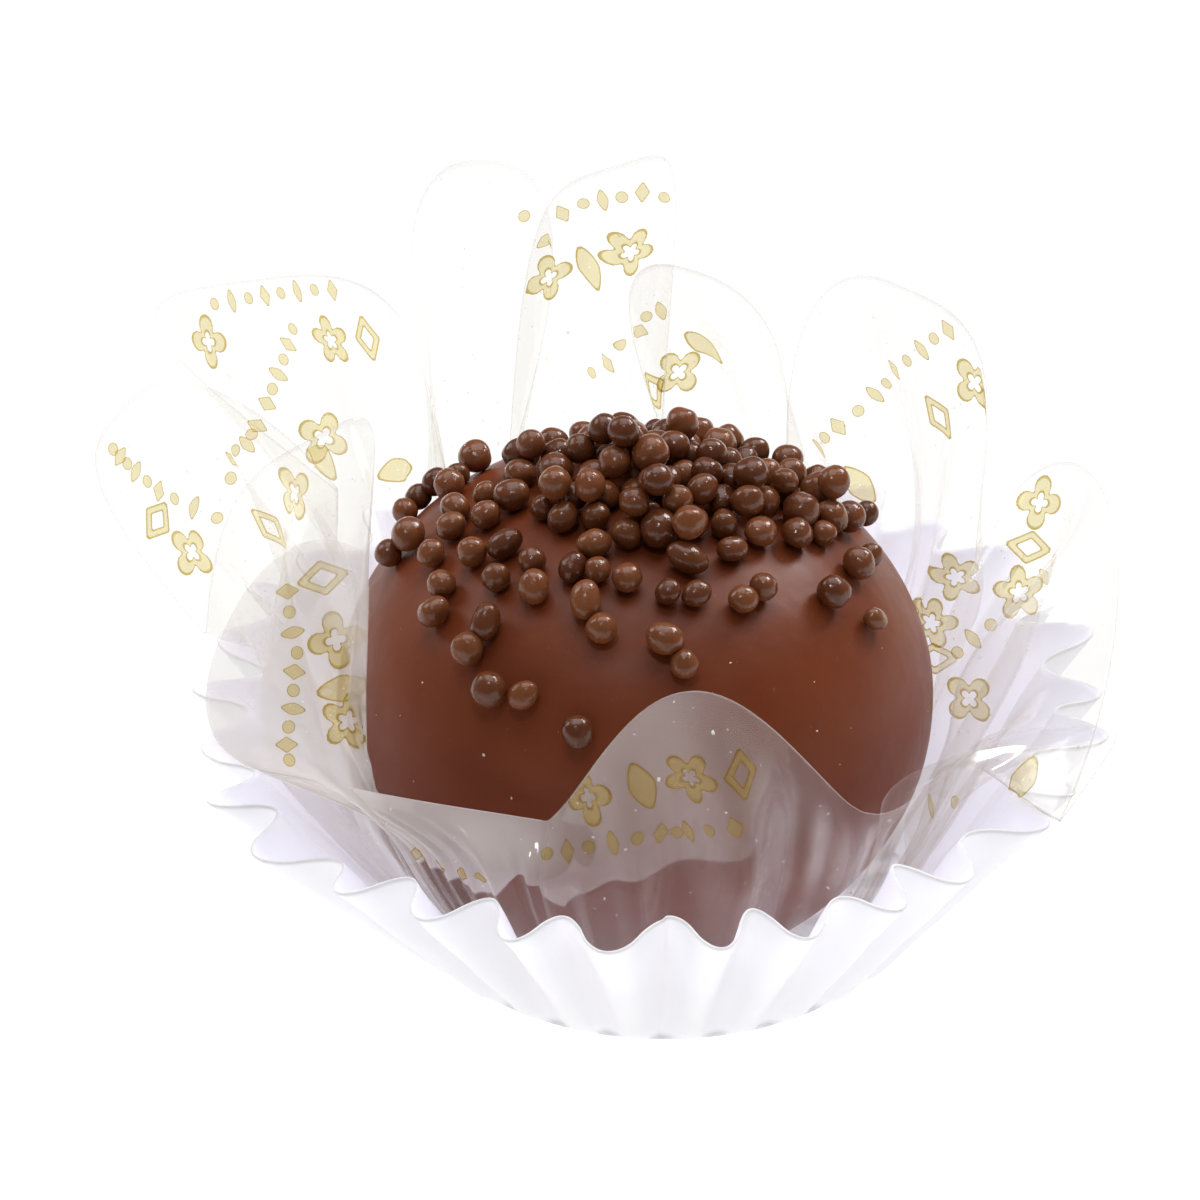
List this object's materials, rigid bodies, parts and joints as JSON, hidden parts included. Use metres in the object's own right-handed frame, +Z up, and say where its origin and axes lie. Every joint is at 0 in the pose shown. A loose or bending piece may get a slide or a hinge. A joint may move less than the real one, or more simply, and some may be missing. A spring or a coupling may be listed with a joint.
{
  "type": "brigadeiro in a paper case",
  "caption": "Soft chocolate ball topped with glossy crisp balls, resting in a clear scalloped film sheet inside a fluted white paper case.",
  "frame": {"origin": "centre of the flat underside of the paper case, on the surface that it stands on", "axes": "+Z up through the sweet, -Y towards the front of the view where the film stands lowest, +X to the right"},
  "size_m": [0.0683, 0.0622, 0.0462],
  "materials": {
    "chocolate": "smooth milk chocolate fondant with a soft satin sheen",
    "crisp_balls": "small milk chocolate balls with a polished glaze",
    "case_paper": "thin white greaseproof paper, fluted",
    "clear_film": "thin clear film, slightly milky and glossy",
    "gold_print": "pale gold printed motifs on the film"
  },
  "bodies": {
    "root": {"sweet": "chocolate", "paper_case": "case_paper", "film_liner": "clear_film"}
  },
  "joints": []
}
